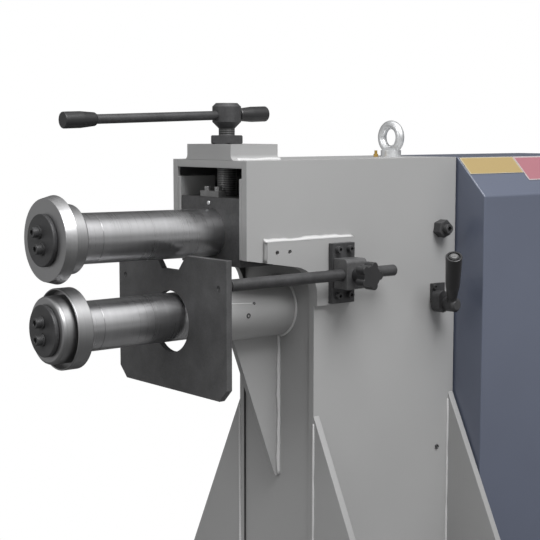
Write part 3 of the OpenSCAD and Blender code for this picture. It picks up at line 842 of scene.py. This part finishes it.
@dataclass
class Head:
    """Neck block, guides, slide block and its cap."""

    shop: Workshop
    datum: Datum
    pin_r: float = 3.2 * MM
    pin_y: float = 2.0
    pin_z: float = 171.0

    def build(self) -> None:
        """Dresses the head and adds the neck's welds and the block's pin."""
        self.shop.soften("neck_block", BODY_PAINT, 1.5 * MM)
        self.shop.soften("head_guides", BODY_PAINT, 1.5 * MM)
        self.shop.soften("slide_block", BLOCK_IRON, 1.0 * MM)
        self.shop.soften("slide_cap", GUIDE_STEEL, 0.6 * MM)
        self.shop.dress("rear_rocker", BLOCK_IRON)
        self.lay_neck_welds()
        self.set_pin()

    def lay_neck_welds(self) -> None:
        """Welds round the neck's foot."""
        low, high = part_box("neck_block")
        bead = WeldBead(3.4 * MM, 5.0 * MM)
        bm = bmesh.new()
        for y in (low.y + 0.001, high.y - 0.001):
            bead.lay(bm, Vector((low.x + 0.006, y, low.z)), Vector((high.x, y, low.z)), seed=y * 50)
        start = Vector((high.x, low.y + 0.002, low.z))
        bead.lay(bm, start, Vector((high.x, high.y - 0.002, low.z)), seed=3.0)
        self.shop.hang("neck_welds", bm, HIGHLIT_WELD_PAINT, Body.FRAME)

    def set_pin(self) -> None:
        """The small bright nipple in the slide block's front."""
        bm = bmesh.new()
        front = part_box("slide_block")[0].x
        spot = self.datum.at(0, self.pin_y, self.pin_z)
        spot.x = front + 0.002
        profile = button(self.pin_r, 0.004, 0.001) + [(0.0046, 0.0)]
        turned(bm, profile, spot, -Axis.X.value, 24)
        self.shop.hang("slide_nipple", bm, ZINC, Body.ARM)


@dataclass
class Spindles:
    """Both roller shafts with rollers, washers and keeper screws."""

    shop: Workshop
    datum: Datum
    edge: float = 0.7 * MM

    def build(self) -> None:
        """Rounds and dresses the turned pieces."""
        for side in ("lower", "upper"):
            self.shop.soften(side + "_shaft", BRIGHT_STEEL, 0.5 * MM)
            self.shop.soften(side + "_roller", ROLLER_STEEL, self.edge, angle=20.0)
            self.shop.soften(side + "_washer", BLACK_STEEL, 1.6 * MM, 3)
            self.shop.soften(side + "_keepers", BLACK_STEEL, 0.8 * MM)


@dataclass
class Horn:
    """Horn tube, its gusset, weld ring and grease points."""

    shop: Workshop
    datum: Datum
    weld: WeldBead = field(default_factory=lambda: WeldBead(2.2 * MM, 6.0 * MM))
    ring_steps: int = 120
    ring_start: float = -78.0
    ring_turn: float = 336.0
    # Each stub's name, station, turn above level and radius.
    stubs: tuple = (("horn_set_screw", 40.0, -4.0, 4.0 * MM), ("horn_stub", 53.0, 18.0, 2.2 * MM))

    def build(self) -> None:
        """Dresses the horn and adds its weld ring, set screw and stub."""
        self.shop.soften("horn_tube", BODY_PAINT, 1.5 * MM)
        self.shop.soften("horn_gusset", BODY_PAINT, 1.5 * MM)
        self.shop.dress("lower_bearing", BLACK_STEEL)
        self.lay_ring()
        self.lay_gusset_welds()
        self.set_screw()

    def radius(self) -> float:
        """The tube's outer radius."""
        low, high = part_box("horn_tube")
        return (high.y - low.y) / 2

    def lay_ring(self) -> None:
        """The weld round the tube where it enters the wall."""
        bm = bmesh.new()
        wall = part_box("front_wall")[0].x
        r = self.radius() + 0.001
        path, radii = [], []
        for i in range(self.ring_steps + 1):
            a = math.radians(self.ring_start + self.ring_turn * i / self.ring_steps)
            height = self.datum.axis_z + r * math.sin(a)
            path.append(Vector((wall - 0.001, r * math.cos(a), height)))
            radii.append(self.weld.radius * (1.0 + (0.09 if i % 2 else -0.05)))
        swept(bm, path, radii, 8)
        self.shop.hang("horn_weld_ring", bm, HIGHLIT_WELD_PAINT, Body.FRAME)

    def lay_gusset_welds(self) -> None:
        """The welds down both sides of the gusset."""
        bm = bmesh.new()
        low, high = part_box("horn_gusset")
        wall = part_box("front_wall")[0].x
        top = self.datum.axis_z - self.radius() + 0.002
        for side, y in ((-1, low.y), (1, high.y)):
            start = Vector((wall + 0.0005, y, low.z + 0.002))
            fillet = FilletWeld(rise=0.006, reach=0.004)
            fillet.lay(bm, start, Vector((start.x, y, top)), -Axis.X.value, side * Axis.Y.value,
                       seed=y * 90)
        self.shop.hang("gusset_welds", bm, HIGHLIT_WELD_PAINT, Body.FRAME)

    def on_tube(self, x: float, turn: float) -> tuple:
        """A point on the tube's skin and the direction out of it.

        Args:
            x: its station, in millimetres behind the head.
            turn: its angle above level, in degrees.

        Returns:
            The point and the unit direction.
        """
        out = Vector((0.0, -math.cos(math.radians(turn)), math.sin(math.radians(turn))))
        return self.datum.at(x, 0, 0) + out * self.radius(), out

    def set_screw(self) -> None:
        """A sunk set screw, a small stub and the low ridge that leads to it, the ridge in the welds'
        lightened paint as a painted highlight.
        """
        for name, x, turn, lip in self.stubs:
            spot, out = self.on_tube(x, turn)
            foot = spot - out * 0.002
            bm = bmesh.new()
            profile = button(lip, 0.0030, 0.0008)
            profile += [(0.0030, lip * 0.55), (0.0005, lip * 0.5), (0.0005, 0.0)]
            turned(bm, profile, foot, out, 20)
            self.shop.hang(name, bm, BLACK_STEEL, Body.FRAME)
        # The ridge takes the welds' lightened paint: a painted highlight along its top.
        bm = bmesh.new()
        ridge = [self.on_tube(8.0 + 5.0 * i, 21.0 - 0.35 * i) for i in range(9)]
        swept(bm, [spot - out * 0.0003 for spot, out in ridge], [0.0013] * len(ridge), 8)
        self.shop.hang("horn_ridge", bm, HIGHLIT_WELD_PAINT, Body.FRAME)


@dataclass
class PressureScrew:
    """Spindle, lock nut, hub, cross bar and grips."""

    shop: Workshop
    datum: Datum

    def build(self) -> None:
        """Dresses the screw, its nut, the hub and the bar with its grips."""
        self.shop.dress("spindle", SCREW_STEEL)
        self.shop.soften("lock_nut", BLACK_STEEL, 0.8 * MM)
        self.shop.soften("screw_hub", BLACK_STEEL, 1.2 * MM, 3)
        self.shop.dress("cross_bar", BLACK_STEEL)
        self.shop.soften("cross_grips", BLACK_PLASTIC, 0.8 * MM, angle=24.0)


@dataclass
class DepthStop:
    """Stop plate, rod and clamp."""

    shop: Workshop
    datum: Datum
    screw_y: float = 122.0
    screw_z: float = 54.5
    throat_z: float = 84.0

    def build(self) -> None:
        """Dresses the stop and lays the pad's weld."""
        self.shop.soften("stop_plate", PLATE_STEEL, 0.8 * MM)
        self.shop.soften("stop_rod", BLACK_STEEL, 1.0 * MM)
        self.shop.soften("side_pad", BODY_PAINT, 1.0 * MM)
        self.shop.soften("clamp_plate", BLACK_STEEL, 0.8 * MM)
        self.shop.soften("clamp_screws", BLACK_STEEL, 0.6 * MM)
        self.shop.soften("clamp_block", HIGHLIT_CLAMP_STEEL, 2.2 * MM, 3)
        self.shop.soften("star_knob", BLACK_PLASTIC, 2.2 * MM, 3)
        self.lay_pad_weld()
        self.set_plate_screws()

    def set_plate_screws(self) -> None:
        """The two flush set screws in the stop plate's upper corners."""
        bm = bmesh.new()
        profile = [(0.0, 0.0), (0.0, 0.0037), (0.0026, 0.0037), (0.0031, 0.0032),
                   (0.0031, 0.0019), (0.0012, 0.0018), (0.0012, 0.0)]
        for y in (-self.screw_y, self.screw_y):
            spot = self.datum.at(0, y, self.screw_z)
            spot.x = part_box("stop_plate")[0].x + 0.004
            turned(bm, profile, spot, -Axis.X.value, 20)
        self.shop.hang("stop_plate_screws", bm, PLATE_STEEL, Body.STOP)

    def lay_pad_weld(self) -> None:
        """The wavy fillets along the pad's top edge and down its front end."""
        low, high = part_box("side_pad")
        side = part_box("side_plate_near")[0].y + 0.0004
        depth = side - low.y
        bm = bmesh.new()
        top = high.z - 0.0006
        fillet = FilletWeld(rise=0.0055, reach=depth + 0.0002, bulge=0.56, wave=0.0009, pitch=0.005)
        fillet.lay(bm, Vector((low.x - 0.002, side, top)), Vector((high.x + 0.002, side, top)),
                   Axis.Z.value, -Axis.Y.value, seed=1.7)
        self.shop.hang("pad_top_weld", bm, HIGHLIT_WELD_PAINT, Body.FRAME)
        bm = bmesh.new()
        front = low.x + 0.0006
        foot = max(low.z, self.datum.at(0, 0, self.throat_z).z)
        fillet = FilletWeld(rise=0.003, reach=depth - 0.0005, bulge=0.56, wave=0.0004, pitch=0.005)
        fillet.lay(bm, Vector((front, side, foot)), Vector((front, side, high.z + 0.001)),
                   -Axis.X.value, -Axis.Y.value, seed=0.4)
        self.shop.hang("pad_end_weld", bm, BODY_PAINT, Body.FRAME)


@dataclass
class Fittings:
    """Lifting eye, grease nipple, pivots and adjusting lever."""

    shop: Workshop
    datum: Datum
    button_r: float = 6.2 * MM
    button_h: float = 1.6 * MM
    screw_x: float = 417.0
    screw_z: float = -260.0
    screw_r: float = 4.0 * MM
    screw_h: float = 3.0 * MM

    def build(self) -> None:
        """Dresses the small fittings."""
        self.shop.soften("eye_bolt", ZINC, 1.0 * MM)
        self.shop.dress("grease_nipple", NIPPLE_BRASS)
        self.shop.soften("pivot_screws", BLACK_STEEL, 0.8 * MM)
        self.shop.soften("pivot_nuts", BLACK_STEEL, 1.2 * MM)
        self.shop.soften("lever_bracket", BLACK_STEEL, 0.8 * MM)
        self.shop.soften("lever_arm", BLACK_STEEL, 1.5 * MM)
        self.shop.soften("lever_grip", BLACK_PLASTIC, 0.6 * MM)
        self.set_side_screw()
        self.set_grip_button()

    def set_grip_button(self) -> None:
        """The bright button on the grip pin's end."""
        turn = next(j for j in frame["joints"] if j["name"] == "lever_grip_spin")
        foot, axis = Vector(turn["pos_m"]), Vector(turn["axis"]).normalized()
        top = max((v.co - foot).dot(axis) for v in self.shop.nodes["lever_arm"].data.vertices)
        profile = button(self.button_r, self.button_h, 0.0007)
        profile += [(self.button_h, self.button_r * 0.4), (0.0010, 0.0)]
        bm = bmesh.new()
        turned(bm, profile, foot + axis * (top - 0.0002), axis, 28)
        self.shop.hang("grip_button", bm, GUIDE_STEEL, Body.LEVER)

    def set_side_screw(self) -> None:
        """The small screw low on the near side plate."""
        bm = bmesh.new()
        spot = self.datum.at(self.screw_x, 0, self.screw_z)
        spot.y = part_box("side_plate_near")[0].y + 0.0005
        profile = button(self.screw_r, self.screw_h, 0.001)
        profile += [(self.screw_h, 0.002), (0.0016, 0.0019), (0.0016, 0.0)]
        turned(bm, profile, spot, -Axis.Y.value, 20)
        self.shop.hang("side_screw", bm, BLACK_STEEL, Body.FRAME)


@dataclass
class DriveCover:
    """Sheet-metal cover, rear panel and its two blank plates."""

    shop: Workshop
    datum: Datum
    fold: float = 2.5 * MM
    screws: int = 6
    side_gap: float = 0.014
    foot_gap: float = 0.03
    top_gap: float = 0.10

    def build(self) -> None:
        """Dresses the cover and adds the rear panel's screws."""
        self.shop.soften("drive_cover", COVER_PAINT, self.fold, 3)
        self.shop.soften("rear_panel", COVER_PAINT, 1.0 * MM)
        self.print_plate("label_yellow", YELLOW_PLATE)
        self.print_plate("label_red", RED_PLATE)
        self.set_rear_screws()

    def print_plate(self, node: str, finish: Finish) -> None:
        """A label plate with a UV map that spans it."""
        piece = self.shop.soften(node, finish, 0.2 * MM, 1)
        mesh = piece.data
        low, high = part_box(node)
        layer = mesh.uv_layers.new(name="plate")
        for loop in mesh.loops:
            co = mesh.vertices[loop.vertex_index].co
            layer.data[loop.index].uv = ((co.x - low.x) / (high.x - low.x),
                                         (co.z - low.z) / (high.z - low.z))

    def set_rear_screws(self) -> None:
        """Pan-head screws round the rear panel."""
        low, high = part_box("rear_panel")
        bm = bmesh.new()
        profile = [(0.0, 0.0), (0.0, 0.005), (0.0015, 0.005), (0.003, 0.0035), (0.0034, 0.0)]
        foot = low.z + self.foot_gap
        run = high.z - self.top_gap - low.z - self.foot_gap
        for y in (low.y + self.side_gap, high.y - self.side_gap):
            for i in range(self.screws):
                spot = Vector((high.x - 0.0005, y, foot + run * i / (self.screws - 1)))
                turned(bm, profile, spot, Axis.X.value, 16)
        self.shop.hang("rear_panel_screws", bm, BLACK_STEEL, Body.FRAME)


# --------------------------------------------------------------------- studio


@dataclass
class Studio:
    """Camera, lamps, floor and backdrop."""

    eye: Vector = field(default_factory=lambda: Vector((-1.6729, -1.59695, 1.2823)))
    turn: tuple = (83.821, 0.0, -39.476)
    lens: float = 86.1
    sensor: float = 36.0
    floor_size: float = 30.0
    # Start and width of the floor's turn to white, as seen directly and in metal.
    clear_floor: tuple = (0.75, 0.9)
    shown_floor: tuple = (2.5, 3.0)
    shown_level: float = 0.36
    # Each lamp's name, place, aim, side and watts.
    lamps: tuple = (
        ("key", (-0.6, -2.3, 4.2), (0.0, 0.0, 0.95), 2.2, 186.0),
        ("overhead", (-0.5, 0.8, 4.2), (0.0, 0.0, 1.0), 2.6, 18.0),
        ("front", (-3.6, 0.2, 2.6), (0.0, 0.0, 1.0), 1.6, 25.0))
    # The world as matt surfaces see it, and as metal does: ahead, then by height.
    dim: tuple = (0.42, 0.42, 0.42)
    ahead: tuple = (0.46, 0.46, 0.46)
    sheen: tuple = ((0.0, 0.12), (0.25, 0.12), (0.42, 0.10), (0.58, 0.14),
                    (0.78, 0.20), (0.88, 0.28), (0.95, 0.68), (1.0, 0.82))

    def build(self) -> None:
        """Sets up the whole studio."""
        scene = bpy.context.scene
        scene.view_settings.view_transform = "Standard"
        self.set_camera(scene)
        self.set_floor()
        self.set_world(scene)
        for lamp in self.lamps:
            self.set_lamp(*lamp)

    def set_camera(self, scene: bpy.types.Scene) -> None:
        """Places the camera at its fixed viewing point."""
        data = bpy.data.cameras.new("camera")
        data.lens = self.lens
        data.sensor_width = self.sensor
        camera = bpy.data.objects.new("camera", data)
        camera.location = self.eye
        camera.rotation_euler = tuple(math.radians(a) for a in self.turn)
        scene.collection.objects.link(camera)
        scene.camera = camera

    def set_floor(self) -> None:
        """A wide pale floor under the machine, white to the camera further out."""
        bm = bmesh.new()
        bmesh.ops.create_grid(bm, x_segments=1, y_segments=1, size=self.floor_size)
        mesh = bpy.data.meshes.new("floor")
        bm.to_mesh(mesh)
        bm.free()
        floor = bpy.data.objects.new("floor", mesh)
        bpy.context.scene.collection.objects.link(floor)
        graph = Graph("pale_floor")
        seen = graph.ray("Camera")
        shine = graph.ray("Glossy")
        dull = graph.blend(shine, (0.32, 0.32, 0.32), (0.10, 0.10, 0.10))
        tone = graph.blend(seen, dull, (0.9, 0.9, 0.9))
        matt = graph.node("ShaderNodeBsdfPrincipled", None, {"Base Color": tone, "Roughness": 0.9})
        white = graph.node("ShaderNodeEmission", None, {"Color": (1.0, 1.0, 1.0, 1.0), "Strength": 1.0})
        away = graph.value("ShaderNodeVectorMath", {"operation": "LENGTH"}, {0: graph.place()}, "Value")
        pale = away.step(*self.clear_floor) * seen
        pale = pale + away.step(*self.shown_floor) * shine * self.shown_level
        parts = {0: pale, 1: matt.outputs[0], 2: white.outputs[0]}
        mix = graph.node("ShaderNodeMixShader", None, parts)
        graph.node("ShaderNodeOutputMaterial", None, {"Surface": mix.outputs[0]})
        mesh.materials.append(graph.owner)

    def set_world(self, scene: bpy.types.Scene) -> None:
        """White to the camera, a soft studio gradient to metal, dim to the rest."""
        graph = Graph("studio", bpy.data.worlds)
        scene.world = graph.owner
        along, across, up = graph.axes(graph.node("ShaderNodeTexCoord").outputs["Generated"])
        height = across * -0.4 + (up * 0.5 + 0.5)
        stops = [(place, (level,) * 3) for place, level in self.sheen]
        band = graph.value("ShaderNodeValToRGB", {"stops": stops}, {0: height})
        metal = graph.blend(along.step(-0.05, -0.5), band, self.ahead)
        shine = (graph.ray("Glossy") + graph.ray("Transmission")).clamp()
        seen = graph.blend(graph.ray("Camera"), graph.blend(shine, self.dim, metal), (1.0, 1.0, 1.0))
        background = graph.node("ShaderNodeBackground", None, {0: seen})
        graph.node("ShaderNodeOutputWorld", None, {"Surface": background.outputs[0]})

    def set_lamp(self, name: str, spot: tuple, aim: tuple, size: float, power: float) -> None:
        """Hangs one square soft lamp.

        Args:
            name: the lamp's name.
            spot: where it hangs.
            aim: the point it faces.
            size: its side.
            power: its watts.
        """
        data = bpy.data.lights.new(name, "AREA")
        data.shape = "SQUARE"
        data.size = size
        data.energy = power
        lamp = bpy.data.objects.new(name, data)
        lamp.location = spot
        lamp.rotation_euler = (Vector(aim) - Vector(spot)).to_track_quat("-Z", "Y").to_euler()
        bpy.context.scene.collection.objects.link(lamp)


def main() -> None:
    """Builds every sub-assembly in order."""
    logging.basicConfig(level=logging.INFO, format="%(message)s")
    shop = Workshop()
    datum = Datum.from_frame()
    Studio().build()
    for part in (Stand, Head, Horn, Spindles, PressureScrew, DepthStop, Fittings, DriveCover):
        part(shop, datum).build()
        LOG.info("finished %s", part.__name__)


if __name__ == "__main__":
    main()
